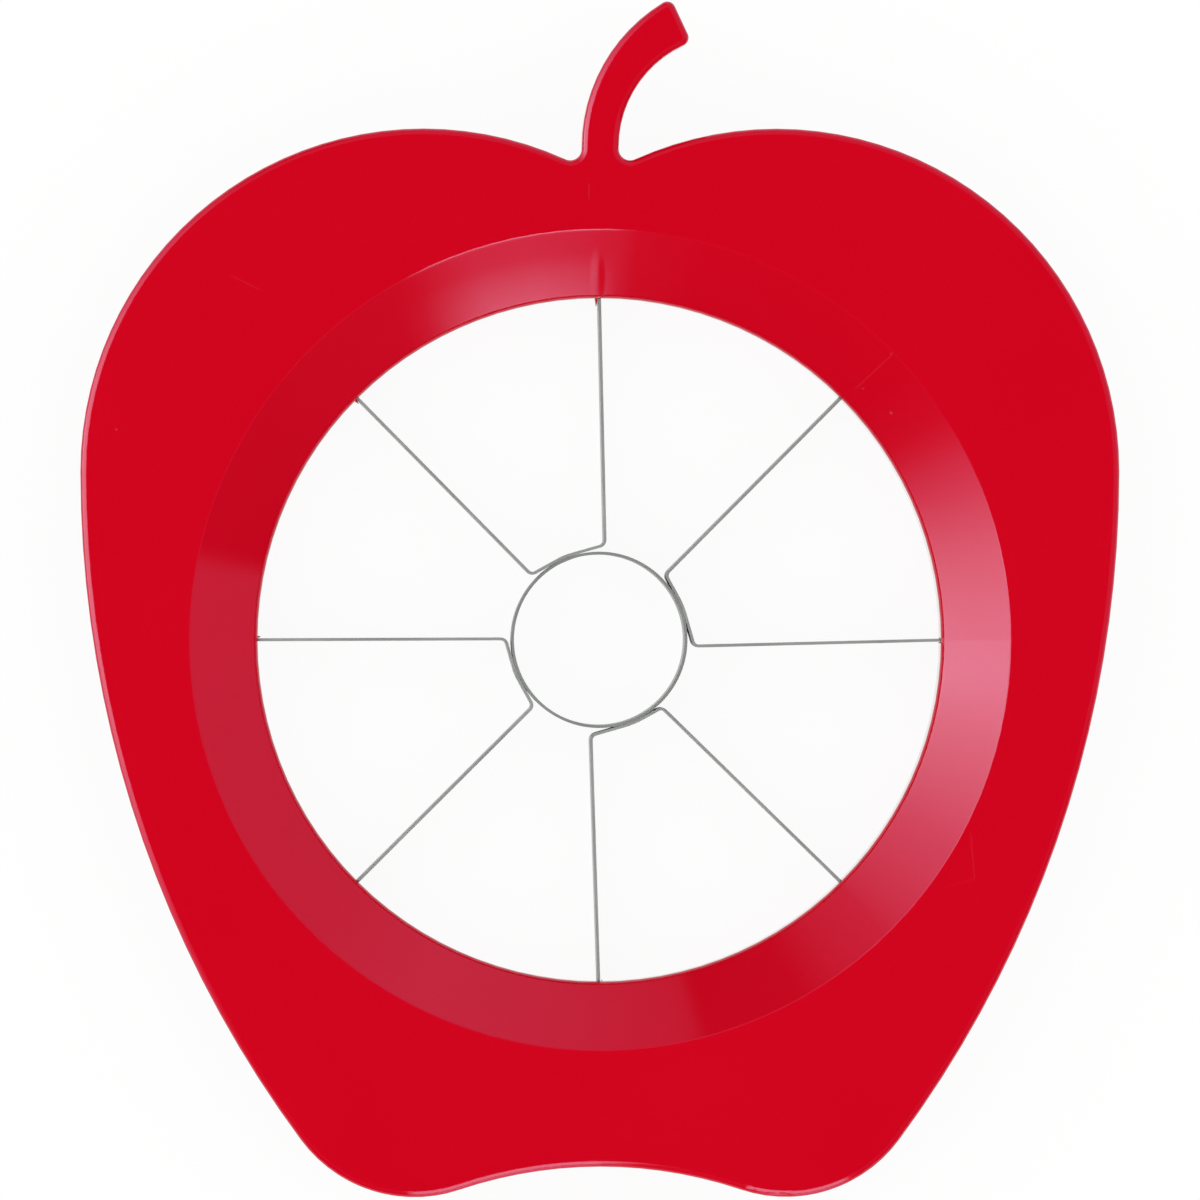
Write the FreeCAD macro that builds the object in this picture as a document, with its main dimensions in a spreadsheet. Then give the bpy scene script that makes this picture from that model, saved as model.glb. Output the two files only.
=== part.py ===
import FreeCAD, Part
import math
import os

import Sketcher

# A hand-pressed apple slicer: an apple-shaped moulded plate with a funnel, a collar and a cage of
# stainless strips. All lengths are in millimetres and all angles in degrees.
# The origin is on the core ring's axis, in the base plane where the collar and the cutting edges rest.
# +Z is up, the stem points along +Y, and +X is to the right when the plate is seen from above.

SIZES = {
    # Opening, funnel and moulded walls
    "opening_radius": 48.0,
    "collar_height": 13.0,
    "funnel_run": 9.5,
    "funnel_depth": 7.0,
    "wall": 2.2,
    "skirt_depth": 8.0,
    "collar_draft": 1.0,
    # Plate outline: ledges are measured outward from the funnel's upper edge
    "side_ledge": 15.3,
    "top_ledge": 14.15,
    "notch_ledge": 7.3,
    "arch_ledge": 16.3,
    "foot_drop": 4.25,
    "foot_offset": 26.0,
    "foot_radius": 19.8,
    # Stem, cored from below
    "stem_width": 5.2,
    "stem_wall": 1.5,
    "stem_straight": 4.25,
    "stem_rise": 18.3,
    "stem_outer_bend": 23.7,
    "stem_inner_bend": 15.7,
    "stem_tip_slant": 65.0,
    # Roundings and chamfers of the moulding
    "root_radius": 1.6,
    "tip_radius": 1.2,
    "edge_radius": 0.9,
    "funnel_edge_radius": 0.4,
    "lip_radius": 1.6,
    "base_chamfer": 0.3,
    # Stainless strips and core ring
    "steel": 0.4,
    "blade_height": 12.0,
    "core_radius": 12.0,
    "weld_gap": 0.02,
    "weld_half_angle": 6.5,
    "bend_radius": 0.7,
    "ground_width": 0.15,
    "ground_height": 0.9,
    # Lean of each spoke off its radius, clockwise towards the core, by its place on a clock face
    "lean_at_3": 1.4,
    "lean_at_half_past_1": 0.2,
    "lean_at_12": 1.3,
    "lean_at_half_past_10": -0.4,
    "lean_at_9": 0.2,
    "lean_at_half_past_7": -0.1,
    "lean_at_6": 1.8,
    "lean_at_half_past_4": 0.7,
    # Blade ends and the bosses that hold them
    "tab_length": 4.0,
    "tab_height": 8.0,
    "seat_clearance": 0.08,
    "boss_width": 5.0,
    "boss_cover": 2.0,
    "boss_lift": 1.0,
}

# Each strip's name, and the leans of its first spoke and of the next one, counter-clockwise
STRIPS = (
    ("blade_strip_upper_right", "sizes.lean_at_3", "sizes.lean_at_half_past_1"),
    ("blade_strip_upper_left", "sizes.lean_at_12", "sizes.lean_at_half_past_10"),
    ("blade_strip_lower_left", "sizes.lean_at_9", "sizes.lean_at_half_past_7"),
    ("blade_strip_lower_right", "sizes.lean_at_6", "sizes.lean_at_half_past_4"),
)
SPOKE_COUNT = 2 * len(STRIPS)
SPOKE_STEP = 360 / SPOKE_COUNT

# How far a cutting sketch reaches past the solid that it cuts
OVERCUT = 1

# Sizes that follow from the driving ones, as expressions
TOP = "(sizes.collar_height + sizes.funnel_depth)"
FUNNEL_RADIUS = "(sizes.opening_radius + sizes.funnel_run)"
HALF_WIDTH = f"({FUNNEL_RADIUS} + sizes.side_ledge)"
LOBE_TOP = f"({FUNNEL_RADIUS} + sizes.top_ledge)"
NOTCH = f"({FUNNEL_RADIUS} + sizes.notch_ledge)"
ARCH = f"({FUNNEL_RADIUS} + sizes.arch_ledge)"
FOOT = f"({ARCH} + sizes.foot_drop)"
BEND_START = f"({NOTCH} + sizes.stem_straight)"
STEM_TOP = f"({LOBE_TOP} + sizes.stem_rise)"
STEM_TOP_X = (
    "(sizes.stem_outer_bend - sizes.stem_width / 2"
    f" - sqrt(sizes.stem_outer_bend * sizes.stem_outer_bend"
    f" - ({STEM_TOP} - {BEND_START}) * ({STEM_TOP} - {BEND_START})))"
)
FUNNEL_SLOPE = "atan(sizes.funnel_depth / sizes.funnel_run)"
STRIP_END = "(sizes.opening_radius + sizes.tab_length)"
STRIP_PIVOT = "(sizes.opening_radius + sizes.tab_length / 2)"
STRIP_CONTACT = "(sizes.core_radius + sizes.steel + sizes.weld_gap)"
STRIP_BEND = "(sizes.bend_radius + sizes.steel)"
TAB_LOW = "((sizes.blade_height - sizes.tab_height) / 2)"


def wall_radius(level):
    """Inner radius of the drafted collar at a height, as an expression."""
    return (
        f"(sizes.opening_radius + (sizes.collar_height - {level})"
        " * tan(sizes.collar_draft * 1 deg))"
    )


doc = FreeCAD.newDocument("apple_slicer")
sheet = doc.addObject("Spreadsheet::Sheet", "sizes")
for row, (alias, number) in enumerate(SIZES.items(), start=1):
    sheet.set(f"A{row}", alias.replace("_", " "))
    sheet.set(f"B{row}", str(number))
    sheet.setAlias(f"B{row}", alias)
doc.recompute()


def value(expression):
    """The number that an expression over the sheet gives."""
    result = sheet.evalExpression(expression)
    return float(getattr(result, "Value", result))


def point(x, y):
    return FreeCAD.Vector(x, y, 0)


def polar(radius, degrees):
    angle = math.radians(degrees)
    return point(radius * math.cos(angle), radius * math.sin(angle))


def line(start, end):
    return Part.LineSegment(start, end)


def arc(centre, radius, start, end):
    """The arc that runs counter-clockwise about centre from start's direction to end's."""
    first = math.atan2(start.y - centre.y, start.x - centre.x)
    last = math.atan2(end.y - centre.y, end.x - centre.x)
    circle = Part.Circle(centre, FreeCAD.Vector(0, 0, 1), radius)
    return Part.ArcOfCircle(circle, first, last)


def origin_feature(body, role):
    return next(item for item in body.Origin.OriginFeatures if item.Role == role)


def crossing(start, direction, centre, radius):
    """Where the line through start first meets a circle, measured against its direction."""
    reach = (start - centre) * direction
    miss = (start - centre).Length ** 2 - radius ** 2
    return start + direction * (-reach - math.sqrt(reach ** 2 - miss))


class Drawing:
    """A sketch on one of its body's origin planes, with dimensions that follow the sheet."""

    def __init__(self, body, name, plane="XY_Plane", lift=None):
        self.sketch = body.newObject("Sketcher::SketchObject", name)
        self.sketch.AttachmentSupport = [(origin_feature(body, plane), "")]
        self.sketch.MapMode = "FlatFace"
        if lift:
            self.sketch.setExpression("AttachmentOffset.Base.z", lift)

    def draw(self, *shapes):
        self.sketch.addGeometry(list(shapes), False)

    def mark(self, *shapes):
        self.sketch.addGeometry(list(shapes), True)

    def tie(self, kind, *where):
        self.sketch.addConstraint(Sketcher.Constraint(kind, *where))

    def size(self, name, kind, where, expression):
        """A named dimension whose number is an expression over the sheet."""
        if kind == "Angle":
            expression = f"({expression}) * 1 deg"
            number = math.radians(value(expression))
        else:
            number = value(expression)
        index = self.sketch.addConstraint(Sketcher.Constraint(kind, *where, number))
        self.sketch.renameConstraint(index, name)
        self.sketch.setExpression(f"Constraints.{name}", expression)


def feature(body, kind, name, **settings):
    """A PartDesign feature at the tip of its body. Text settings are expressions over the sheet."""
    item = body.newObject(f"PartDesign::{kind}", name)
    for key, setting in settings.items():
        if isinstance(setting, str) and setting.startswith("="):
            item.setExpression(key, setting[1:])
        else:
            setattr(item, key, setting)
    body.Tip = item
    doc.recompute()
    return item


def around_axis(body, name, original):
    """Eight copies of a feature about the vertical axis, one for each spoke."""
    return feature(
        body, "PolarPattern", name,
        Originals=[original],
        Axis=(origin_feature(body, "Z_Axis"), [""]),
        Angle=360,
        Occurrences=SPOKE_COUNT,
    )


def edges(shape, wanted):
    return [f"Edge{i}" for i, edge in enumerate(shape.Edges, start=1) if wanted(edge)]


def faces(shape, wanted):
    return [f"Face{i}" for i, face in enumerate(shape.Faces, start=1) if wanted(face)]


def is_flat_at(height):
    """A test for an edge or a face that lies wholly at one height."""
    def test(item):
        box = item.BoundBox
        return abs(box.ZMin - height) < 1e-4 and abs(box.ZMax - height) < 1e-4
    return test


def is_circle(edge, radius):
    """Whether an edge is a circle, or an arc of one, about the vertical axis."""
    return isinstance(edge.Curve, Part.Circle) and abs(edge.Curve.Radius - radius) < 1e-4 \
        and edge.Curve.Center.distanceToPoint(FreeCAD.Vector(0, 0, edge.Curve.Center.z)) < 1e-4


def plate_outline(body):
    """Half of the apple: five tangent arcs from the arch between the feet up to the notch."""
    width, top, notch = value(HALF_WIDTH), value(LOBE_TOP), value(NOTCH)
    arch, foot = value(ARCH), value(FOOT)
    foot_x, foot_radius = value("sizes.foot_offset"), value("sizes.foot_radius")

    # The lobe passes through the widest point, the top and the notch
    dip = top - notch
    lobe_radius = width + dip - math.sqrt(2 * width * dip)
    lobe_centre = point(width - lobe_radius, top - lobe_radius)
    # The side is tangent to the lobe at the widest point and to the foot
    foot_centre = point(foot_x, foot_radius - foot)
    inset, drop = foot_x - width, foot_centre.y - lobe_centre.y
    side_radius = (foot_radius ** 2 - inset ** 2 - drop ** 2) / (2 * (inset + foot_radius))
    side_centre = point(width - side_radius, lobe_centre.y)
    # The arch curves the other way, level at the centre line and tangent to the foot
    fall = foot - arch
    arch_radius = (foot_x ** 2 + fall ** 2) / (2 * fall) - foot_radius
    arch_centre = point(0, -arch - arch_radius)

    arch_end = arch_centre + (foot_centre - arch_centre).normalize() * arch_radius
    side_start = side_centre + (foot_centre - side_centre).normalize() * side_radius
    arch_top, widest = point(0, -arch), point(width, lobe_centre.y)
    lobe_top, notch_point = point(lobe_centre.x, top), point(0, notch)

    drawing = Drawing(body, "plate_outline", lift=f"{TOP} - sizes.skirt_depth")
    drawing.draw(
        arc(arch_centre, arch_radius, arch_end, arch_top),
        arc(foot_centre, foot_radius, arch_end, side_start),
        arc(side_centre, side_radius, side_start, widest),
        arc(lobe_centre, lobe_radius, widest, lobe_top),
        arc(lobe_centre, lobe_radius, lobe_top, notch_point),
        line(notch_point, arch_top),
    )
    drawing.tie("Tangent", 0, 1, 1, 1)
    drawing.tie("Tangent", 1, 2, 2, 1)
    drawing.tie("Tangent", 2, 2, 3, 1)
    drawing.tie("Coincident", 3, 2, 4, 1)
    drawing.tie("Coincident", 3, 3, 4, 3)
    drawing.tie("Coincident", 4, 2, 5, 1)
    drawing.tie("Coincident", 5, 2, 0, 2)
    drawing.tie("PointOnObject", 5, 1, -2)
    drawing.tie("PointOnObject", 5, 2, -2)
    drawing.tie("PointOnObject", 0, 3, -2)
    drawing.tie("Horizontal", 2, 3, 2, 2)
    drawing.tie("Vertical", 3, 3, 3, 2)
    drawing.size("arch_height", "DistanceY", (0, 2), f"-{ARCH}")
    drawing.size("foot_across", "DistanceX", (1, 3), "sizes.foot_offset")
    drawing.size("foot_level", "DistanceY", (1, 3), f"sizes.foot_radius - {FOOT}")
    drawing.size("foot_round", "Radius", (1,), "sizes.foot_radius")
    drawing.size("half_width", "DistanceX", (2, 2), HALF_WIDTH)
    drawing.size("lobe_height", "DistanceY", (3, 2), LOBE_TOP)
    drawing.size("notch_height", "DistanceY", (4, 2), NOTCH)
    return drawing.sketch


def stem_outline(body, name, root, inset=None):
    """The stem: straight out of the notch, then bent to the right with a slanted end.

    With an inset, it is the space inside the stem's walls instead.
    """
    wall = inset or "0"
    half_width = f"(sizes.stem_width / 2 - {wall})"
    outer_bend, inner_bend = f"(sizes.stem_outer_bend - {wall})", f"(sizes.stem_inner_bend + {wall})"
    half, outer, inner = value(half_width), value(outer_bend), value(inner_bend)
    root_y, bend_y = value(root), value(BEND_START)
    slant = math.radians(value("sizes.stem_tip_slant"))

    outer_centre, inner_centre = point(outer - half, bend_y), point(inner + half, bend_y)
    # The slanted end lies one wall inside the stem's own, and runs from the outer bend to the inner
    along = point(math.cos(slant), -math.sin(slant))
    across = point(-math.sin(slant), -math.cos(slant))
    tip = point(value(STEM_TOP_X), value(STEM_TOP))
    on_end = tip + across * value(wall)
    outer_tip, inner_tip = (
        crossing(on_end, along, outer_centre, outer), crossing(on_end, along, inner_centre, inner)
    )

    drawing = Drawing(body, name, lift=f"{TOP} - sizes.skirt_depth")
    drawing.draw(
        line(point(-half, root_y), point(-half, bend_y)),
        arc(outer_centre, outer, outer_tip, point(-half, bend_y)),
        line(outer_tip, inner_tip),
        arc(inner_centre, inner, inner_tip, point(half, bend_y)),
        line(point(half, bend_y), point(half, root_y)),
        line(point(half, root_y), point(-half, root_y)),
    )
    drawing.mark(Part.Point(tip))
    drawing.tie("Tangent", 0, 2, 1, 2)
    drawing.tie("Coincident", 1, 1, 2, 1)
    drawing.tie("Coincident", 2, 2, 3, 1)
    drawing.tie("Tangent", 3, 2, 4, 1)
    drawing.tie("Coincident", 4, 2, 5, 1)
    drawing.tie("Coincident", 5, 2, 0, 1)
    drawing.tie("Vertical", 0)
    drawing.tie("Vertical", 4)
    drawing.tie("Horizontal", 5)
    drawing.size("left_side", "DistanceX", (0, 2), f"-{half_width}")
    drawing.size("right_side", "DistanceX", (4, 1), half_width)
    drawing.size("left_bend_start", "DistanceY", (0, 2), BEND_START)
    drawing.size("right_bend_start", "DistanceY", (4, 1), BEND_START)
    drawing.size("outer_bend", "Radius", (1,), outer_bend)
    drawing.size("inner_bend", "Radius", (3,), inner_bend)
    drawing.size("tip_across", "DistanceX", (6, 1), STEM_TOP_X)
    drawing.size("tip_height", "DistanceY", (6, 1), STEM_TOP)
    drawing.size("tip_slant", "Angle", (2,), "-sizes.stem_tip_slant")
    if inset:
        drawing.size("tip_wall", "Distance", (6, 1, 2), inset)
    else:
        drawing.tie("PointOnObject", 6, 1, 2)
    drawing.size("root", "DistanceY", (5, 2), root)
    return drawing.sketch


def collar_section(body):
    """Half section of the solid plug that the funnel and the collar are cut from."""
    foot_radius = value("sizes.opening_radius + sizes.wall")
    slope = value(FUNNEL_SLOPE)
    draft = value("sizes.collar_draft")
    under = value(f"{TOP} - sizes.wall")
    # The funnel's underside lies one wall below its upper face
    meets_plate = (
        f"{FUNNEL_RADIUS} + sizes.wall * (1 / cos({FUNNEL_SLOPE}) - 1) / tan({FUNNEL_SLOPE})"
    )
    rim = point(value(meets_plate), under)
    tan_slope, tan_draft = math.tan(math.radians(slope)), math.tan(math.radians(draft))
    knee_z = (rim.y - (rim.x - foot_radius) * tan_slope) / (1 - tan_draft * tan_slope)
    knee = point(foot_radius + knee_z * tan_draft, knee_z)

    drawing = Drawing(body, "collar_section", plane="XZ_Plane")
    drawing.draw(
        line(point(0, 0), point(foot_radius, 0)),
        line(point(foot_radius, 0), knee),
        line(knee, rim),
        line(rim, point(0, under)),
        line(point(0, under), point(0, 0)),
    )
    for first, second in ((0, 1), (1, 2), (2, 3), (3, 4)):
        drawing.tie("Coincident", first, 2, second, 1)
    drawing.tie("Coincident", 4, 2, -1, 1)
    drawing.tie("Coincident", 0, 1, -1, 1)
    drawing.tie("Horizontal", 0)
    drawing.tie("Horizontal", 3)
    drawing.tie("Vertical", 4)
    drawing.size("outside", "DistanceX", (0, 2), "sizes.opening_radius + sizes.wall")
    drawing.size("draft", "Angle", (1,), "90 - sizes.collar_draft")
    drawing.size("underside", "Angle", (2,), f"{FUNNEL_SLOPE} / 1 deg")
    drawing.size("meets_plate", "DistanceX", (2, 2), meets_plate)
    drawing.size("plate_underside", "DistanceY", (2, 2), f"{TOP} - sizes.wall")
    return drawing.sketch


def opening_section(body):
    """Half section of the space inside the collar and the funnel, with the lip between them."""
    funnel, top, lip_round = value(FUNNEL_RADIUS), value(TOP), value("sizes.lip_radius")
    lip = point(value("sizes.opening_radius"), value("sizes.collar_height"))
    below_base = point(value(wall_radius(-OVERCUT)), -OVERCUT)
    # Normals that point into the plastic, of the wall and of the funnel
    wall_normal = polar(1, value("sizes.collar_draft"))
    funnel_normal = polar(1, value(FUNNEL_SLOPE) - 90)
    centre = corner(
        wall_normal, lip * wall_normal + lip_round, funnel_normal, lip * funnel_normal + lip_round
    )
    wall_end, funnel_start = centre - wall_normal * lip_round, centre - funnel_normal * lip_round

    drawing = Drawing(body, "opening_section", plane="XZ_Plane")
    drawing.draw(
        line(point(0, -OVERCUT), below_base),
        line(below_base, wall_end),
        arc(centre, lip_round, funnel_start, wall_end),
        line(funnel_start, point(funnel, top)),
        line(point(funnel, top), point(funnel, top + OVERCUT)),
        line(point(funnel, top + OVERCUT), point(0, top + OVERCUT)),
        line(point(0, top + OVERCUT), point(0, -OVERCUT)),
    )
    drawing.mark(Part.Point(lip))
    drawing.tie("Coincident", 0, 2, 1, 1)
    drawing.tie("Tangent", 1, 2, 2, 2)
    drawing.tie("Tangent", 2, 1, 3, 1)
    for first, second in ((3, 4), (4, 5), (5, 6), (6, 0)):
        drawing.tie("Coincident", first, 2, second, 1)
    for level in (0, 5):
        drawing.tie("Horizontal", level)
    for upright in (4, 6):
        drawing.tie("Vertical", upright)
    drawing.tie("PointOnObject", 0, 1, -2)
    for side in (1, 3):
        drawing.tie("PointOnObject", 7, 1, side)
    drawing.size("below_base", "DistanceY", (0, 1), f"-{OVERCUT}")
    drawing.size("inner_draft", "Angle", (1,), "90 + sizes.collar_draft")
    drawing.size("inner_wall", "DistanceX", (7, 1), "sizes.opening_radius")
    drawing.size("lip", "DistanceY", (7, 1), "sizes.collar_height")
    drawing.size("lip_round", "Radius", (2,), "sizes.lip_radius")
    drawing.size("funnel_edge", "DistanceX", (3, 2), FUNNEL_RADIUS)
    drawing.size("plate_top", "DistanceY", (3, 2), TOP)
    drawing.size("above_plate", "DistanceY", (5, 2), f"{TOP} + {OVERCUT}")
    return drawing.sketch


def boss_outline(body):
    """A round-ended boss on the outside of the collar, on the first spoke's line."""
    inner_end = "sizes.opening_radius + sizes.wall / 2"
    round_centre = f"{STRIP_END} + sizes.boss_cover - sizes.boss_width / 2"
    start, centre = value(inner_end), point(value(round_centre), 0)
    half = value("sizes.boss_width") / 2
    low, high = point(centre.x, -half), point(centre.x, half)

    drawing = Drawing(body, "boss_outline", lift="sizes.boss_lift")
    drawing.draw(
        line(point(start, -half), low),
        arc(centre, half, low, high),
        line(high, point(start, half)),
        line(point(start, half), point(start, -half)),
    )
    drawing.tie("Tangent", 0, 2, 1, 1)
    drawing.tie("Tangent", 1, 2, 2, 1)
    drawing.tie("Coincident", 2, 2, 3, 1)
    drawing.tie("Coincident", 3, 2, 0, 1)
    drawing.tie("Horizontal", 0)
    drawing.tie("Horizontal", 2)
    drawing.tie("Vertical", 3)
    drawing.tie("PointOnObject", 1, 3, -1)
    drawing.size("end_round", "Radius", (1,), "sizes.boss_width / 2")
    drawing.size("end_centre", "DistanceX", (1, 3), round_centre)
    drawing.size("inner_end", "DistanceX", (3, 1), inner_end)
    return drawing.sketch


def slot_outline(body):
    """The slot in the first boss that the end of a blade sits in."""
    near, far = "sizes.opening_radius - sizes.wall / 2", f"{STRIP_END} + sizes.seat_clearance"
    half_width = "sizes.steel / 2 + sizes.seat_clearance"
    left, right, half = value(near), value(far), value(half_width)
    corners = (point(left, -half), point(right, -half), point(right, half), point(left, half))

    drawing = Drawing(body, "slot_outline", lift=f"{TAB_LOW} - sizes.seat_clearance")
    drawing.draw(*(line(corners[i], corners[(i + 1) % 4]) for i in range(4)))
    for i in range(4):
        drawing.tie("Coincident", i, 2, (i + 1) % 4, 1)
    for level in (0, 2):
        drawing.tie("Horizontal", level)
    for upright in (1, 3):
        drawing.tie("Vertical", upright)
    drawing.size("near_end", "DistanceX", (0, 1), near)
    drawing.size("far_end", "DistanceX", (1, 1), far)
    drawing.size("right_side", "DistanceY", (0, 1), f"-({half_width})")
    drawing.size("left_side", "DistanceY", (2, 1), half_width)
    return drawing.sketch


def moulded_frame():
    """The plate, stem, funnel, collar and bosses: one plastic moulding."""
    body = doc.addObject("PartDesign::Body", "moulded_frame")
    top = value(TOP)
    skirt_rim = value(f"{TOP} - sizes.skirt_depth")

    half = feature(
        body, "Pad", "half_plate", Profile=plate_outline(body), Length="=sizes.skirt_depth"
    )
    whole = feature(
        body, "Mirrored", "whole_plate",
        Originals=[half], MirrorPlane=(origin_feature(body, "YZ_Plane"), [""]),
    )
    feature(
        body, "Thickness", "hollow_underside",
        Base=(whole, faces(whole.Shape, is_flat_at(skirt_rim))),
        Value="=sizes.wall", Mode="Skin", Join="Arc", Reversed=True,
    )
    stem = feature(
        body, "Pad", "stem", Profile=stem_outline(body, "stem_outline", f"{NOTCH} - sizes.wall / 2"),
        Length="=sizes.skirt_depth",
    )

    def upright(edge):
        box = edge.BoundBox
        return isinstance(edge.Curve, Part.Line) and box.ZLength > 1e-4 and \
            max(box.XLength, box.YLength) < 1e-4

    notch, bend = value(NOTCH), value(BEND_START)
    half_stem = value("sizes.stem_width") / 2
    rounded = feature(
        body, "Fillet", "stem_root_rounding",
        Base=(stem, edges(stem.Shape, lambda edge: upright(edge)
                          and notch < edge.BoundBox.YMin < bend - 1e-4
                          and abs(abs(edge.BoundBox.XMin) - half_stem) < 1e-4)),
        Radius="=sizes.root_radius",
    )
    feature(
        body, "Fillet", "stem_tip_rounding",
        Base=(rounded, edges(rounded.Shape, lambda edge: upright(edge)
                             and edge.BoundBox.YMin > value(LOBE_TOP))),
        Radius="=sizes.tip_radius",
    )
    feature(
        body, "Pocket", "stem_core", Reversed=True,
        Profile=stem_outline(body, "stem_core_outline", f"{NOTCH} + sizes.stem_wall",
                             inset="sizes.stem_wall"),
        Length="=sizes.skirt_depth - sizes.wall",
    )
    feature(
        body, "Revolution", "collar_plug", Profile=collar_section(body),
        ReferenceAxis=(origin_feature(body, "Z_Axis"), [""]), Angle=360,
    )
    boss = feature(
        body, "Pad", "boss", Profile=boss_outline(body),
        Length=f"={TOP} - sizes.wall - sizes.boss_lift",
    )
    around_axis(body, "bosses", boss)
    feature(
        body, "Groove", "opening", Profile=opening_section(body),
        ReferenceAxis=(origin_feature(body, "Z_Axis"), [""]), Angle=360,
    )
    slot = feature(
        body, "Pocket", "slot", Profile=slot_outline(body), Reversed=True,
        Length="=sizes.tab_height + 2 * sizes.seat_clearance",
    )
    slots = around_axis(body, "slots", slot)

    funnel = value(FUNNEL_RADIUS)
    base_inside, base_outside = value(wall_radius(0)), value("sizes.opening_radius + sizes.wall")
    plate_edge = feature(
        body, "Fillet", "plate_edge_rounding",
        Base=(slots, edges(slots.Shape, lambda edge: is_flat_at(top)(edge)
                           and not is_circle(edge, funnel))),
        Radius="=sizes.edge_radius",
    )
    funnel_edge = feature(
        body, "Fillet", "funnel_edge_rounding",
        Base=(plate_edge, edges(plate_edge.Shape, lambda edge: is_circle(edge, funnel)
                                and is_flat_at(top)(edge))),
        Radius="=sizes.funnel_edge_radius",
    )
    feature(
        body, "Chamfer", "collar_base_chamfer",
        Base=(funnel_edge, edges(funnel_edge.Shape, lambda edge: is_flat_at(0)(edge)
                                 and (is_circle(edge, base_inside)
                                      or is_circle(edge, base_outside)))),
        Size="=sizes.base_chamfer",
    )
    return body


def ground_edge(body, name, base, radius):
    """Grind one side of a lower edge: the arc of this radius and all that runs on from it."""
    chain = edges(base.Shape, lambda edge: is_flat_at(0)(edge) and is_circle(edge, radius))
    first_face = base.Shape.ancestorsOfType(base.Shape.getElement(chain[0]), Part.Face)[0]
    return feature(
        body, "Chamfer", name, Base=(base, chain), ChamferType="Two distances",
        FlipDirection=not is_flat_at(0)(first_face),
        Size="=sizes.ground_width", Size2="=sizes.ground_height",
    )


def core_ring():
    """The ring that cuts out the core, ground to an edge around the outside of its lower rim."""
    body = doc.addObject("PartDesign::Body", "core_ring")
    drawing = Drawing(body, "ring_section")
    outside = "sizes.core_radius + sizes.steel"
    normal = FreeCAD.Vector(0, 0, 1)
    drawing.draw(
        Part.Circle(point(0, 0), normal, value("sizes.core_radius")),
        Part.Circle(point(0, 0), normal, value(outside)),
    )
    for circle in (0, 1):
        drawing.tie("Coincident", circle, 3, -1, 1)
    drawing.size("bore", "Radius", (0,), "sizes.core_radius")
    drawing.size("outside", "Radius", (1,), outside)
    ring = feature(
        body, "Pad", "ring", Profile=drawing.sketch, Length="=sizes.blade_height"
    )
    ground_edge(body, "ground_edge", ring, value(outside))
    return body


def corner(first_normal, first_offset, second_normal, second_offset):
    """Where the lines normal . p = offset cross."""
    turn = first_normal.x * second_normal.y - first_normal.y * second_normal.x
    return point(
        (first_offset * second_normal.y - second_offset * first_normal.y) / turn,
        (first_normal.x * second_offset - second_normal.x * first_offset) / turn,
    )


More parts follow.
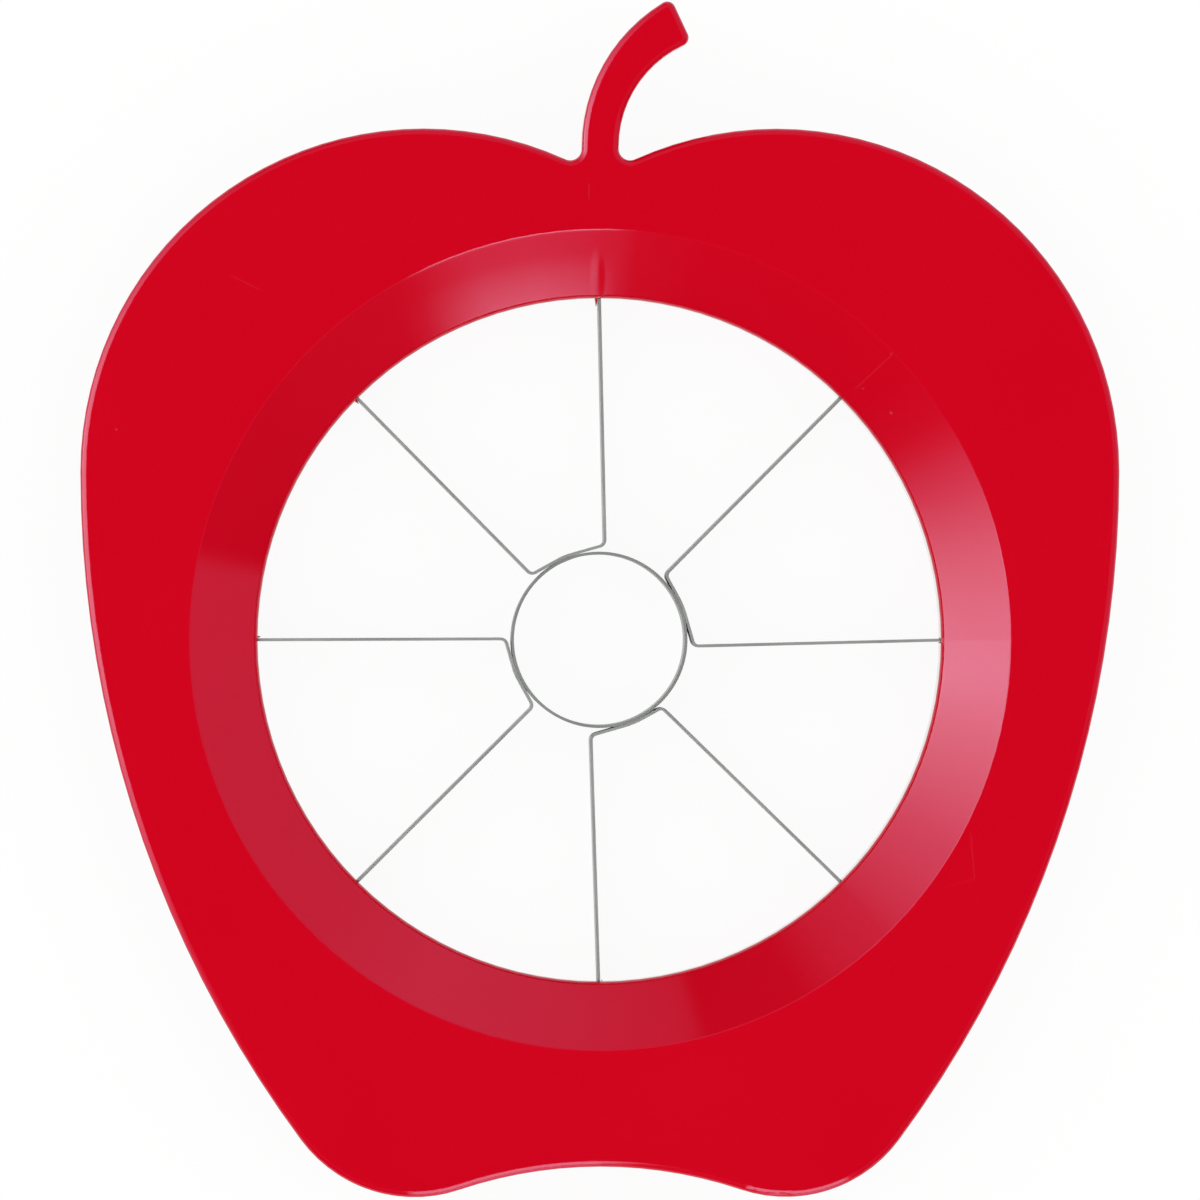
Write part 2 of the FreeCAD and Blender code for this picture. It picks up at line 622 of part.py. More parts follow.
def wedge_outline(body, first_lean, second_lean):
    """The wedge that a strip encloses: spoke, bend, flat, ring contact, flat, bend, spoke."""
    end, pivot, contact = value(STRIP_END), value(STRIP_PIVOT), value(STRIP_CONTACT)
    half, bend = value("sizes.steel") / 2, value(STRIP_BEND)
    middle, spread = SPOKE_STEP / 2, value("sizes.weld_half_angle")
    pivots = (polar(pivot, 0), polar(pivot, SPOKE_STEP))
    # Normals that point into the wedge, of the two spokes and of the two flats beside the contact
    spoke_normals = (
        polar(1, value(first_lean) + 90), polar(1, SPOKE_STEP + value(second_lean) - 90),
    )
    flat_normals = (polar(1, middle - spread), polar(1, middle + spread))

    far, spoke_end, flat_end, centre = [], [], [], []
    for at, spoke, flat in zip(pivots, spoke_normals, flat_normals):
        offset = at * spoke - half
        bend_centre = corner(spoke, offset + bend, flat, contact + bend)
        centre.append(bend_centre)
        spoke_end.append(bend_centre - spoke * bend)
        flat_end.append(bend_centre - flat * bend)
        outward = (at - bend_centre).normalize()
        outward = outward - spoke * (outward * spoke)
        outward.normalize()
        far.append(spoke * offset + outward * math.sqrt(end ** 2 - offset ** 2))
    contact_end = [normal * contact for normal in flat_normals]
    zero = point(0, 0)

    drawing = Drawing(body, "wedge_outline")
    drawing.draw(
        line(spoke_end[0], far[0]),
        arc(zero, end, far[0], far[1]),
        line(far[1], spoke_end[1]),
        arc(centre[1], bend, spoke_end[1], flat_end[1]),
        line(flat_end[1], contact_end[1]),
        arc(zero, contact, contact_end[0], contact_end[1]),
        line(contact_end[0], flat_end[0]),
        arc(centre[0], bend, flat_end[0], spoke_end[0]),
    )
    drawing.mark(Part.Point(pivots[0]), Part.Point(pivots[1]))
    drawing.tie("Coincident", 0, 2, 1, 1)
    drawing.tie("Coincident", 1, 2, 2, 1)
    drawing.tie("Tangent", 2, 2, 3, 1)
    drawing.tie("Tangent", 3, 2, 4, 1)
    drawing.tie("Tangent", 4, 2, 5, 2)
    drawing.tie("Tangent", 5, 1, 6, 1)
    drawing.tie("Tangent", 6, 2, 7, 1)
    drawing.tie("Tangent", 7, 2, 0, 1)
    drawing.tie("Coincident", 1, 3, -1, 1)
    drawing.tie("Coincident", 5, 3, -1, 1)
    step = f"{SPOKE_STEP} deg"
    drawing.size("strip_end", "Radius", (1,), STRIP_END)
    drawing.size("contact", "Radius", (5,), STRIP_CONTACT)
    drawing.size("second_bend", "Radius", (3,), STRIP_BEND)
    drawing.size("first_bend", "Radius", (7,), STRIP_BEND)
    drawing.size("first_lean", "Angle", (0,), first_lean)
    drawing.size("second_lean", "Angle", (2,), f"{second_lean} + {SPOKE_STEP - 180}")
    drawing.size("first_flat", "Angle", (6,), f"{middle - 90} - sizes.weld_half_angle")
    drawing.size("second_flat", "Angle", (4,), f"{middle - 90} + sizes.weld_half_angle")
    drawing.size("first_pivot_x", "DistanceX", (8, 1), STRIP_PIVOT)
    drawing.tie("PointOnObject", 8, 1, -1)
    drawing.size("second_pivot_x", "DistanceX", (9, 1), f"{STRIP_PIVOT} * cos({step})")
    drawing.size("second_pivot_y", "DistanceY", (9, 1), f"{STRIP_PIVOT} * sin({step})")
    drawing.size("first_half", "Distance", (8, 1, 0), "sizes.steel / 2")
    drawing.size("second_half", "Distance", (9, 1, 2), "sizes.steel / 2")
    return drawing.sketch


def tab_zone(body, name, wall_level, lift=None):
    """The ring of space past the collar's wall, where a blade is cut down to its tab."""
    inner = f"{wall_radius(wall_level)} - sizes.seat_clearance"
    outer = f"{STRIP_END} + {OVERCUT}"
    drawing = Drawing(body, name, lift=lift)
    normal = FreeCAD.Vector(0, 0, 1)
    drawing.draw(
        Part.Circle(point(0, 0), normal, value(inner)),
        Part.Circle(point(0, 0), normal, value(outer)),
    )
    for circle in (0, 1):
        drawing.tie("Coincident", circle, 3, -1, 1)
    drawing.size("inner", "Radius", (0,), inner)
    drawing.size("outer", "Radius", (1,), outer)
    return drawing.sketch


def blade_strip(name, first_lean, second_lean, turn):
    """A strip bent twice: two spokes with a tab on each end, and a middle welded to the ring."""
    body = doc.addObject("PartDesign::Body", name)
    height = value("sizes.blade_height")
    end, contact = value(STRIP_END), value(STRIP_CONTACT)

    wedge = feature(
        body, "Pad", "wedge", Profile=wedge_outline(body, first_lean, second_lean),
        Length="=sizes.blade_height",
    )

    def opens(face):
        curved_end = isinstance(face.Surface, Part.Cylinder) and \
            abs(face.Surface.Radius - end) < 1e-4
        return curved_end or is_flat_at(0)(face) or is_flat_at(height)(face)

    strip = feature(
        body, "Thickness", "strip", Base=(wedge, faces(wedge.Shape, opens)),
        Value="=sizes.steel", Mode="Skin", Join="Intersection", Reversed=True,
    )
    ground = ground_edge(body, "ring_side_ground", strip, contact)
    ground_edge(body, "apple_side_ground", ground, value(f"{STRIP_CONTACT} + sizes.steel"))
    feature(
        body, "Pocket", "below_tab", Profile=tab_zone(body, "below_tab_zone", TAB_LOW),
        Reversed=True, Length=f"={TAB_LOW}",
    )
    feature(
        body, "Pocket", "above_tab",
        Profile=tab_zone(body, "above_tab_zone", "sizes.blade_height", "sizes.blade_height"),
        Length=f"={TAB_LOW}",
    )
    body.Placement.Rotation = FreeCAD.Rotation(FreeCAD.Vector(0, 0, 1), turn)
    return body


bodies = [moulded_frame(), core_ring()]
for count, strip in enumerate(STRIPS):
    bodies.append(blade_strip(*strip, turn=2 * SPOKE_STEP * count))
doc.recompute()

for item in doc.Objects:
    failed = {"Invalid", "Error"} & set(item.State)
    if failed:
        raise RuntimeError(f"{item.Name} is {failed}")
os.makedirs("parts", exist_ok=True)
for body in bodies:
    shape = body.Shape
    if shape.isNull() or not shape.isValid() or len(shape.Solids) != 1:
        raise RuntimeError(f"{body.Label} is not one valid solid")
for body in bodies:
    body.Shape.exportStep(f"parts/{body.Label}.step")
    box = body.Shape.BoundBox
    print(body.Label, round(body.Shape.Volume, 2), "mm3", box)
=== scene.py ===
import math

import bpy
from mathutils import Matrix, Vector


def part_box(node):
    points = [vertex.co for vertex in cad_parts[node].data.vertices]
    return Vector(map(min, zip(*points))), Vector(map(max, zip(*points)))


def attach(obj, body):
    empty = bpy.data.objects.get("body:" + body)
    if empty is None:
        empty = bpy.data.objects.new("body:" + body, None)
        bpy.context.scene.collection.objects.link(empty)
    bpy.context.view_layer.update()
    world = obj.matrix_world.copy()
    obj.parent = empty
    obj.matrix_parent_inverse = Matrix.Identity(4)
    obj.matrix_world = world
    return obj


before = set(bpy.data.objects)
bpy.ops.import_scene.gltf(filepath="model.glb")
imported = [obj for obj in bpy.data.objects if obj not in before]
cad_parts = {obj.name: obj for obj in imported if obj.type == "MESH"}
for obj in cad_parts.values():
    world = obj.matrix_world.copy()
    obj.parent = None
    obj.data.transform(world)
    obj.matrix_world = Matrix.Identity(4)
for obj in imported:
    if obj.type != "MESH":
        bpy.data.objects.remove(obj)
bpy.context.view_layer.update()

MM = 0.001
BODY = "root"
PLASTIC_SLOT, RING_SLOT, BLADE_SLOT = "red_plastic", "ring_steel", "blade_steel"
BLACK, WHITE = (0, 0, 0, 1), (1, 1, 1, 1)

# Sizes of the solids that the looks refer to, in metres
PLATE_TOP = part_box("moulded_frame")[1].z
FLOOR_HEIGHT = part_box("moulded_frame")[0].z
PLATE_WALL = 2.2 * MM
OPENING_RADIUS = 48 * MM
RING_RADIUS = 12 * MM
STEEL = 0.4 * MM
WELD_GAP = 0.02 * MM

# The photograph's frame
IMAGE_SIDE = 1200
PIXEL = 0.14 * MM
AXIS_PIXEL = (600.3, 640.0)
CAMERA_DISTANCE = 2.0
CAMERA_SIDE_STEP = -0.035


def at_pixel(x, y, z=0.0):
    """The point of the object's frame, at height z, that shows at a pixel of the photograph."""
    return Vector(((x - AXIS_PIXEL[0]) * PIXEL, (AXIS_PIXEL[1] - y) * PIXEL, z))


def polar(radius, degrees, z=0.0):
    angle = math.radians(degrees)
    return Vector((radius * math.cos(angle), radius * math.sin(angle), z))


def placed(name, data):
    """A new object in the scene."""
    made = bpy.data.objects.new(name, data)
    bpy.context.scene.collection.objects.link(made)
    return made


class Tree:
    """A short way to build a shader: each call makes a node and gives its output."""

    def __init__(self, owner):
        owner.use_nodes = True
        self.tree = owner.node_tree
        self.tree.nodes.clear()

    def plug(self, socket, source):
        if isinstance(source, bpy.types.NodeSocket):
            self.tree.links.new(source, socket)
        else:
            socket.default_value = source

    def node(self, kind, settings=None, **inputs):
        made = self.tree.nodes.new("ShaderNode" + kind)
        for name, setting in (settings or {}).items():
            setattr(made, name, setting)
        for name, source in inputs.items():
            self.plug(made.inputs[name.replace("_", " ")], source)
        return made.outputs

    def in_order(self, kind, sources):
        """A new node whose inputs take the sources in order."""
        made = self.tree.nodes.new("ShaderNode" + kind)
        for socket, source in zip(made.inputs, sources):
            self.plug(socket, source)
        return made

    def math(self, operation, *sources):
        made = self.in_order("Math", sources)
        made.operation = operation
        return made.outputs[0]

    def vector(self, operation, *sources):
        made = self.in_order("VectorMath", sources)
        made.operation = operation
        return made.outputs["Value" if operation in ("LENGTH", "DOT_PRODUCT") else "Vector"]

    def blend(self, share, first, second):
        """The shader that goes from the first to the second as the share goes from 0 to 1."""
        return self.in_order("MixShader", (share, first, second)).outputs[0]

    def step(self, source, low, high):
        """A smooth step from 0 at low to 1 at high."""
        return self.node("MapRange", {"interpolation_type": "SMOOTHSTEP"}, Value=source,
                         From_Min=low, From_Max=high)[0]

    def mix(self, share, first, second):
        """The colour that goes from the first to the second as the share goes from 0 to 1."""
        made = self.tree.nodes.new("ShaderNodeMix")
        made.data_type = "RGBA"
        inputs = {entry.identifier: entry for entry in made.inputs}
        self.plug(inputs["Factor_Float"], share)
        self.plug(inputs["A_Color"], first)
        self.plug(inputs["B_Color"], second)
        return next(entry for entry in made.outputs if entry.identifier == "Result_Color")

    def noise(self, where, scale, detail):
        return self.node("TexNoise", Vector=where, Scale=scale, Detail=detail)[0]

    def surface(self, **inputs):
        self.node("OutputMaterial", Surface=self.node("BsdfPrincipled", **inputs)[0])


# The studio's cards: brightness by azimuth in degrees, counter-clockwise from +X
LOWEST_CARDS = (
    (0, 0.64), (45, 0.7), (62, 0.95), (80, 0.83), (102, 0.46), (104, 0.05), (119, 0.08), (126, 0.5),
    (134, 0.75), (135.5, 1.1), (150, 2.4), (165, 4.6), (175, 6.6), (192, 3.9), (204, 1.6), (211, 0.45),
    (214, 0.15), (222, 0.02), (255, 0.02), (262, 0.12), (266, 0.15), (268.5, 0.5), (270.5, 1.6),
    (273, 2.4), (281, 3.2), (289, 3.1), (299, 0.5), (303, 0.1), (347, 0.04), (350, 0.6),
)
# In the next row up, the card in the -Y direction is dimmer
LOW_CARDS = tuple(
    (degrees, 0.32 * level if 270 < degrees < 300 else level) for degrees, level in LOWEST_CARDS
)
HIGH_CARDS = (
    (0, 0.5), (120, 0.5), (140, 2.0), (165, 5.0), (192, 5.0), (205, 0.8), (213, 0.1),
    (268, 0.1), (271, 5.0), (296, 5.0), (299, 0.2), (345, 0.2), (350, 0.5),
)
# Sines of the elevations between which one row of cards gives way to the next
LOWEST_END, LOW_START = 0.25, 0.34
LOW_END, HIGH_START = 0.42, 0.5
HIGH_END, CEILING_START = 0.94, 0.985
# The level that a colour ramp's 1 stands for
CARD_PEAK = 8.0
# Green's share of a card's light grows with the card's level, up to the bright level
DIM_GREEN, GREEN_GAIN, BRIGHT_LEVEL = 0.72, 0.4, 4

LAMP_LEVEL = 1.07
LAMP_SPREAD = 170
LAMP_TILT, LAMP_AZIMUTH = 0.33, 230


def around(t, share, levels):
    """The light of a row of cards, as the share of a turn goes from 0 to 1."""
    made = t.tree.nodes.new("ShaderNodeValToRGB")
    elements = made.color_ramp.elements
    elements.remove(elements[-1])
    for count, (degrees, level) in enumerate(levels):
        element = elements[0] if count == 0 else elements.new(degrees / 360)
        element.position = degrees / 360
        shade = level / CARD_PEAK
        green = DIM_GREEN + GREEN_GAIN * min(level / BRIGHT_LEVEL, 1)
        element.color = (shade, shade * green, shade, 1)
    t.plug(made.inputs[0], share)
    return made.outputs[0]


def studio():
    """An even soft lamp for the colours, and light cards below a dark ceiling for the gloss."""
    world = bpy.data.worlds.new("studio")
    bpy.context.scene.world = world
    world.cycles_visibility.diffuse = False
    t = Tree(world)
    split = t.node("SeparateXYZ", Vector=t.node("TexCoord")["Generated"])
    turn = t.math("ARCTAN2", split["Y"], split["X"])
    share = t.math("FRACT", t.math("DIVIDE", turn, 2 * math.pi))
    height = split["Z"]
    upper = t.node("MapRange", Value=height, From_Min=LOWEST_END, From_Max=LOW_START)[0]
    low = t.mix(upper, around(t, share, LOWEST_CARDS), around(t, share, LOW_CARDS))
    cards = t.mix(t.step(height, LOW_END, HIGH_START), low, around(t, share, HIGH_CARDS))
    cards = t.mix(t.step(height, CEILING_START, HIGH_END), BLACK, cards)
    seen = t.node("LightPath")["Is Camera Ray"]
    colour = t.mix(seen, cards, WHITE)
    strength = t.node("MapRange", Value=seen, To_Min=CARD_PEAK, To_Max=1.0)[0]
    t.node("OutputWorld", Surface=t.node("Background", Color=colour, Strength=strength)[0])

    lamp = bpy.data.lights.new("soft_dome", "SUN")
    lamp.energy = LAMP_LEVEL * math.pi
    lamp.angle = math.radians(LAMP_SPREAD)
    made = placed("soft_dome", lamp)
    beam = Vector((0, 0, -1)) - LAMP_TILT * polar(1, LAMP_AZIMUTH)
    made.rotation_euler = beam.to_track_quat("-Z", "Y").to_euler()
    made.visible_glossy = False


def camera():
    data = bpy.data.cameras.new("camera")
    made = placed("camera", data)
    target = at_pixel(IMAGE_SIDE / 2, IMAGE_SIDE / 2, PLATE_TOP)
    made.location = target + Vector((CAMERA_SIDE_STEP, 0, CAMERA_DISTANCE))
    made.rotation_euler.y = math.atan2(CAMERA_SIDE_STEP, CAMERA_DISTANCE)
    data.lens = data.sensor_width * CAMERA_DISTANCE / (IMAGE_SIDE * PIXEL)
    data.clip_start, data.clip_end = 0.01, 20
    bpy.context.scene.camera = made


FLOOR_REACH = 4.0
FLOOR_GAP = 0.02 * MM
FLOOR_GREY = (0.75, 0.75, 0.75, 1)
FLOOR_GLOW, GLOW_SHARE = 1.03, 0.9


def floor():
    """A pale floor that looks nearly white to the camera and in reflections, and keeps the shadow."""
    corners = [(x * FLOOR_REACH, y * FLOOR_REACH, 0) for x, y in ((-1, -1), (1, -1), (1, 1), (-1, 1))]
    mesh = bpy.data.meshes.new("floor")
    mesh.from_pydata(corners, [], [(0, 1, 2, 3)])
    made = placed("floor", mesh)
    made.location.z = FLOOR_HEIGHT - FLOOR_GAP
    material = bpy.data.materials.new("pale_floor")
    t = Tree(material)
    path = t.node("LightPath")
    seen = t.math("MAXIMUM", path["Is Camera Ray"], path["Is Glossy Ray"])
    seen = t.math("MAXIMUM", seen, path["Is Transmission Ray"])
    upper = t.blend(t.math("MULTIPLY", seen, GLOW_SHARE), t.node("BsdfDiffuse", Color=FLOOR_GREY)[0],
                    t.node("Emission", Strength=FLOOR_GLOW)[0])
    # Nothing hides the object's underside from a camera below the floor
    surface = t.blend(t.node("NewGeometry")["Backfacing"], upper, t.node("BsdfTransparent")[0])
    t.node("OutputMaterial", Surface=surface)
    mesh.materials.append(material)


# Marks on the plastic, at pixels of the photograph: both ends, half width in metres and strength
SCRATCHES = (
    ((589, 184), (589, 199), 0.1 * MM, 0.5),
    ((857, 388), (892, 355), 0.12 * MM, 0.35),
    ((230, 275), (260, 290), 0.1 * MM, 0.35),
    ((971, 833), (975, 879), 0.08 * MM, 0.4),
    ((975, 879), (946, 887), 0.08 * MM, 0.3),
    ((116, 429), (117, 430), 0.16 * MM, 1.0),
    ((892, 412), (893, 413), 0.25 * MM, 1.0),
    ((864, 388), (865, 388), 0.16 * MM, 0.8),
    ((891, 354), (892, 353), 0.14 * MM, 0.8),
)
# Shallow sinks over the blade ends: pixel, half length towards the axis, half width and depth
SINKS = (
    ((598, 275), 4.5 * MM, 1.2 * MM, 0.05 * MM),
    ((850, 389), 2.6 * MM, 2.2 * MM, 0.05 * MM),
    ((850, 890), 3.0 * MM, 1.4 * MM, 0.005 * MM),
    ((352, 892), 3.0 * MM, 1.4 * MM, 0.004 * MM),
    ((975, 643), 3.0 * MM, 1.2 * MM, 0.004 * MM),
)


def scratched(t, where):
    """How strongly each point is marked by the scratches and specks, from 0 to 1."""
    marked = 0.0
    for start, end, width, strength in SCRATCHES:
        first, last = at_pixel(*start), at_pixel(*end)
        run = last - first
        reach = t.vector("SUBTRACT", where, first)
        along = t.vector("DOT_PRODUCT", reach, run / run.length_squared)
        along = t.math("MINIMUM", t.math("MAXIMUM", along, 0.0), 1.0)
        nearest = t.node("VectorMath", {"operation": "SCALE"}, Vector=run, Scale=along)["Vector"]
        gap = t.vector("LENGTH", t.vector("SUBTRACT", reach, nearest))
        marked = t.math("MAXIMUM", marked, t.math("MULTIPLY", t.step(gap, width, 0.0), strength))
    return marked


def sunken(t, where):
    """Depth of the sinks over the blade ends, in metres."""
    total = 0.0
    for pixel, length, width, depth in SINKS:
        middle = at_pixel(*pixel)
        outward = middle.normalized()
        sideways = Vector((-outward.y, outward.x, 0))
        reach = t.vector("SUBTRACT", where, middle)
        along = t.vector("DOT_PRODUCT", reach, outward / length)
        across = t.vector("DOT_PRODUCT", reach, sideways / width)
        size = t.vector("LENGTH", t.node("CombineXYZ", X=along, Y=across)[0])
        total = t.math("ADD", total, t.math("MULTIPLY", t.step(size, 1.0, 0.0), depth))
    return total


# The funnel's slope is slightly crowned between two radii: relief = -CROWN x (distance from its middle)^2
SLOPE_START, SLOPE_MIDDLE, SLOPE_END = 48.6 * MM, 53 * MM, 57.2 * MM
CROWN = 4.4
PEEL_RELIEF = 0.002 * MM
SCRATCH_RELIEF = 0.01 * MM
REDS = ((0.63, 0.0006, 0.0110, 1), (0.66, 0.0010, 0.0130, 1))
SCUFFED_RED = (0.80, 0.10, 0.14, 1)
GLOSS_TINT = (0.62, 0.6, 1.0, 1)


def plastic():
    """Glossy moulded red, with a trace of orange peel, fine rubbing, scratches and sinks."""
    material = bpy.data.materials.new("red_plastic")
    t = Tree(material)
    where = t.node("TexCoord")["Object"]
    split = t.node("SeparateXYZ", Vector=where)
    flat = t.node("CombineXYZ", X=split["X"], Y=split["Y"])[0]
    radius = t.vector("LENGTH", flat)
    on_slope = t.math("MINIMUM", t.math("MAXIMUM", radius, SLOPE_START), SLOPE_END)
    across = t.math("SUBTRACT", on_slope, SLOPE_MIDDLE)
    crown = t.math("MULTIPLY", t.math("MULTIPLY", across, across), -CROWN)
    cloud = t.noise(where, 45.0, 3.0)
    peel = t.noise(where, 1400.0, 2.0)
    rubbed = t.node("Mapping", Vector=where, Scale=(900, 60, 60), Rotation=(0, 0, 0.6))[0]
    rub = t.noise(rubbed, 1.0, 2.0)
    marks = scratched(t, flat)
    relief = t.math("ADD", t.math("MULTIPLY", peel, PEEL_RELIEF), crown)
    relief = t.math("SUBTRACT", relief, sunken(t, flat))
    relief = t.math("ADD", relief, t.math("MULTIPLY", marks, SCRATCH_RELIEF))
    bump = t.node("Bump", Strength=1.0, Distance=1.0, Height=relief)[0]
    tint = t.mix(cloud, *REDS)
    tint = t.mix(t.math("MULTIPLY", marks, 0.25), tint, SCUFFED_RED)
    wear = t.math("MULTIPLY", t.math("ADD", cloud, rub), 0.5)
    shine = t.node("MapRange", Value=wear, To_Min=0.045, To_Max=0.085)[0]
    shine = t.math("ADD", shine, t.math("MULTIPLY", marks, 0.25))
    t.surface(Base_Color=tint, Normal=bump, Roughness=shine, IOR=1.5, Specular_Tint=GLOSS_TINT)
    return material


WELD_HEIGHTS = (3.5 * MM, 8.5 * MM)
WELD_DEGREES = 22.5
HEAT_REACH, HEAT_CORE = 2.0 * MM, 0.9 * MM
# Only the strips' middles and the ring are heated: the tint ends between these radii
HEATED, UNHEATED = 13 * MM, 14 * MM
HEAT_TINT, HEAT_STRENGTH = (0.34, 0.25, 0.17, 1), 0.45
GROUND_HEIGHT, GROUND_FADE = 0.9 * MM, 0.1 * MM
GROUND_STEEL = (0.66, 0.66, 0.66, 1)


def steel(name, dark, light):
    """Rolled strip: fine lines along its length, a freshly ground lower edge and heat tint at the welds."""
    material = bpy.data.materials.new(name)
    t = Tree(material)
    where = t.node("TexCoord")["Object"]
    split = t.node("SeparateXYZ", Vector=where)
    grain = t.noise(t.node("Mapping", Vector=where, Scale=(80, 80, 9000))[0], 1.0, 3.0)
    grit = t.noise(t.node("Mapping", Vector=where, Scale=(6000, 6000, 200))[0], 1.0, 2.0)
    cloud = t.noise(where, 250.0, 2.0)
    tint = t.mix(t.math("MULTIPLY", t.math("ADD", grain, cloud), 0.5), dark, light)

    low = t.step(split["Z"], GROUND_HEIGHT, GROUND_HEIGHT - GROUND_FADE)
    tint = t.mix(low, tint, GROUND_STEEL)
    lines = t.mix(low, grain, grit)

    # The welds repeat every quarter turn, in the middle of each strip
    turn = t.math("ARCTAN2", split["Y"], split["X"])
    quarter = t.math("FRACT", t.math("DIVIDE", turn, math.pi / 2))
    radius = t.vector("LENGTH", t.node("CombineXYZ", X=split["X"], Y=split["Y"])[0])
    sideways = t.math("MULTIPLY", t.math("SUBTRACT", quarter, WELD_DEGREES / 90), math.pi / 2 * RING_RADIUS)
    heat = 0.0
    for level in WELD_HEIGHTS:
        spot = t.node("CombineXYZ", X=sideways, Y=t.math("SUBTRACT", split["Z"], level))[0]
        heat = t.math("MAXIMUM", heat, t.step(t.vector("LENGTH", spot), HEAT_REACH, HEAT_CORE))
    heat = t.math("MULTIPLY", heat, t.step(radius, UNHEATED, HEATED))
    tint = t.mix(t.math("MULTIPLY", heat, HEAT_STRENGTH), tint, HEAT_TINT)

    bump = t.node("Bump", Strength=0.1, Distance=0.05 * MM, Height=lines)[0]
    shine = t.node("MapRange", Value=grain, To_Min=0.34, To_Max=0.48)[0]
    t.surface(Base_Color=tint, Normal=bump, Roughness=shine, Metallic=1.0)
    return material


def mesh_piece(name, points, faces, material, slot, levels=1):
    """A piece of the object that rides on its body, smoothed by subdivision."""
    mesh = bpy.data.meshes.new(name)
    mesh.from_pydata(points, [], faces)
    mesh.validate()
    mesh.materials.append(material)
    made = placed(name, mesh)
    mesh.shade_smooth()
    smooth = made.modifiers.new("smooth", "SUBSURF")
    smooth.levels = smooth.render_levels = levels
    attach(made, BODY)


def turned_mark(profile, place, sides=24):
    """Points and faces of a mark that is a profile of (radius, height) turned about its middle.

    place maps the mark's own (u, v, height) to the object's frame.
    """
    points = [place(0.0, 0.0, profile[0][1])]
    for radius, height in profile[1:]:
        for count in range(sides):
            angle = 2 * math.pi * count / sides
            points.append(place(radius * math.cos(angle), radius * math.sin(angle), height))
    faces = [(0, 1 + count, 1 + (count + 1) % sides) for count in range(sides)]
    for ring in range(len(profile) - 2):
        start = 1 + ring * sides
        for count in range(sides):
            following = (count + 1) % sides
            faces.append((start + count, start + sides + count, start + sides + following, start + following))
    # The rim lies inside what carries the mark, and closes there
    last = 1 + (len(profile) - 2) * sides
    faces.append(tuple(reversed(range(last, last + sides))))
    return points, faces


def in_mm(*pairs):
    return tuple((radius * MM, height * MM) for radius, height in pairs)


WELD_PROFILE = in_mm((0, 0.012), (0.45, 0.010), (0.62, 0.034), (0.78, 0.030), (0.95, 0.004), (1.02, -0.06))


def on_round_wall(radius, degrees, height, outward):
    """A mark's place on a round wall: outward is 1 on its outer face and -1 on its inner one."""
    def place(u, v, lift):
        return polar(radius + outward * lift, degrees + outward * math.degrees(u / radius), height + v)
    return place


def weld_marks(material):
    """Two spot welds for each strip: a dimple on the strip's outer face and one inside the core ring."""
    outer_face = RING_RADIUS + 2 * STEEL + WELD_GAP
    walls = (("strip", outer_face, 1, BLADE_SLOT), ("ring", RING_RADIUS, -1, RING_SLOT))
    for count in range(4):
        for level, height in enumerate(WELD_HEIGHTS):
            for side, radius, outward, slot in walls:
                place = on_round_wall(radius, WELD_DEGREES + 90 * count, height, outward)
                points, faces = turned_mark(WELD_PROFILE, place)
                mesh_piece(f"weld_{side}_{count + 1}_{level + 1}", points, faces, material, slot)


# Ejector pins press on the plate's underside, clear of the funnel and the skirt: x and y in millimetres
PIN_MARKS = (
    (64, 14), (-64, 14), (59, -24), (-59, -24), (46, 50), (-46, 50), (17, 63), (-17, 63),
    (30, -65), (-30, -65),
)
PIN_PROFILE = in_mm((0, 0.02), (1.55, 0.02), (1.75, 0.09), (1.95, 0.09), (2.1, 0), (2.15, -0.2))
GATE = (0, -68)
GATE_PROFILE = in_mm((0, 0.45), (0.35, 0.62), (0.6, 0.5), (0.8, 0.2), (1.3, 0.04), (1.6, -0.2))


def on_underside(x, y):
    """A mark's place on the plate's underside, at x and y in millimetres."""
    def place(u, v, lift):
        return Vector((x * MM + u, y * MM - v, PLATE_TOP - PLATE_WALL - lift))
    return place


def moulding_marks(material):
    """What the mould leaves on the underside: the rims of the ejector pins and the broken gate."""
    for count, middle in enumerate(PIN_MARKS):
        points, faces = turned_mark(PIN_PROFILE, on_underside(*middle), sides=32)
        mesh_piece(f"pin_mark_{count + 1}", points, faces, material, PLASTIC_SLOT)

    def broken(u, v, lift):
        ragged = 1 + 0.18 * math.sin(3 * math.atan2(v, u) + 0.6)
        return on_underside(*GATE)(u * ragged, v * ragged, lift)
    points, faces = turned_mark(GATE_PROFILE, broken, sides=20)
    mesh_piece("gate_stub", points, faces, material, PLASTIC_SLOT)


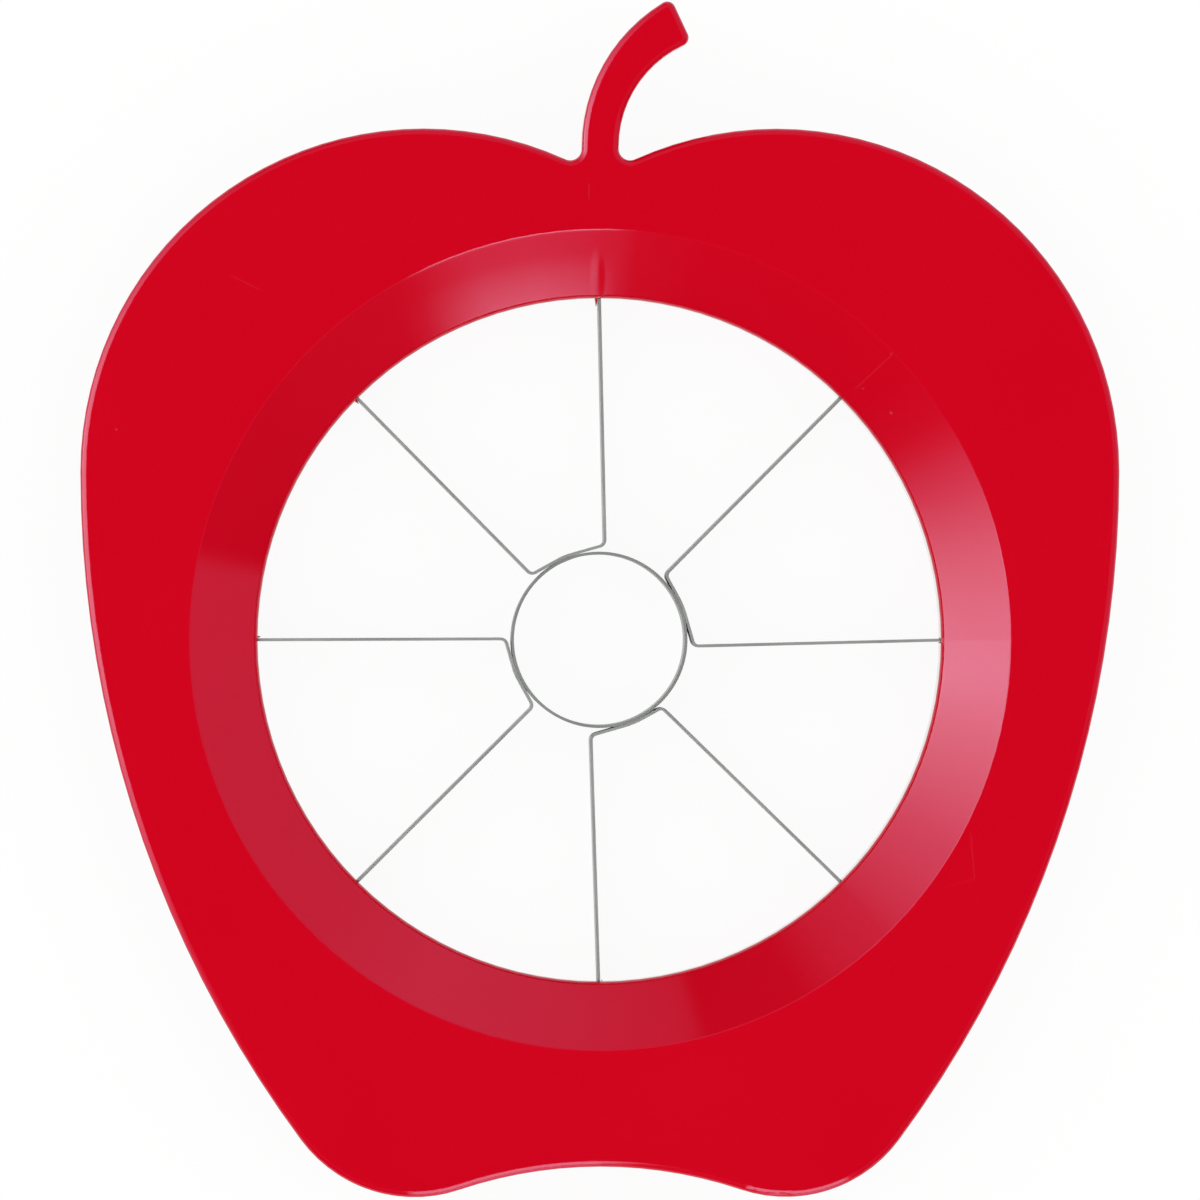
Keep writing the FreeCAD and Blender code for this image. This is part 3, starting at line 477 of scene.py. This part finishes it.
# Flash beside the blades where they enter the collar: degrees, offset to the left of the spoke seen from
# the axis, width, reach into the opening, top and bottom heights, all lengths in millimetres
FLASH = (
    (90, 0.45, 0.5, 1.25, 12.0, 7.5),
    (135, 0.45, 0.5, 0.75, 12.1, 7.5),
    (180, -0.45, 0.45, 0.5, 12.0, 8.5),
    (270, 0.4, 0.3, 0.3, 11.8, 8.0),
    (0, -0.42, 0.35, 0.35, 11.9, 8.2),
)
FLASH_ROOT = OPENING_RADIUS + 0.5 * MM
FLASH_LAYERS = 5


def flash(material):
    """Thin fins that leaked out of the mould along the blades, widest at the top."""
    for count, (degrees, offset, width, reach, top, bottom) in enumerate(FLASH):
        outward, sideways = polar(1, degrees), polar(1, degrees + 90)
        points = []
        for layer in range(FLASH_LAYERS):
            share = layer / (FLASH_LAYERS - 1)
            height = (bottom + (top - bottom) * share) * MM
            # The reach swells from the bottom and draws in again at the top
            swell = math.sin(math.pi * min(share * 0.8 + 0.15, 1))
            tip = OPENING_RADIUS - reach * MM * (0.35 + 0.65 * swell)
            half = width / 2 * MM * (0.5 + 0.5 * share)
            section = (
                (FLASH_ROOT, -half * 1.6), (tip, -half * 0.4), (tip, half * 0.4), (FLASH_ROOT, half * 1.6),
            )
            for along, aside in section:
                points.append(outward * along + sideways * (offset * MM + aside) + Vector((0, 0, height)))
        sides = len(section)
        last = sides * (FLASH_LAYERS - 1)
        faces = [tuple(reversed(range(sides))), tuple(range(last, last + sides))]
        for layer in range(FLASH_LAYERS - 1):
            for side in range(sides):
                first, second = sides * layer + side, sides * layer + (side + 1) % sides
                faces.append((first, second, second + sides, first + sides))
        mesh_piece(f"flash_{count + 1}", points, faces, material, PLASTIC_SLOT, levels=2)


def dress(node, material):
    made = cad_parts[node]
    made.data.materials.clear()
    made.data.materials.append(material)
    made.data.shade_smooth()


camera()
studio()
floor()
red = plastic()
ring_steel = steel("ring_steel", (0.25, 0.252, 0.25, 1), (0.38, 0.382, 0.38, 1))
blade_steel = steel("blade_steel", (0.31, 0.312, 0.31, 1), (0.44, 0.443, 0.44, 1))
materials = {"moulded_frame": red, "core_ring": ring_steel}
for node_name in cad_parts:
    dress(node_name, materials.get(node_name, blade_steel))
weld_marks(blade_steel)
moulding_marks(red)
flash(red)

bpy.context.scene.view_settings.view_transform = "Standard"
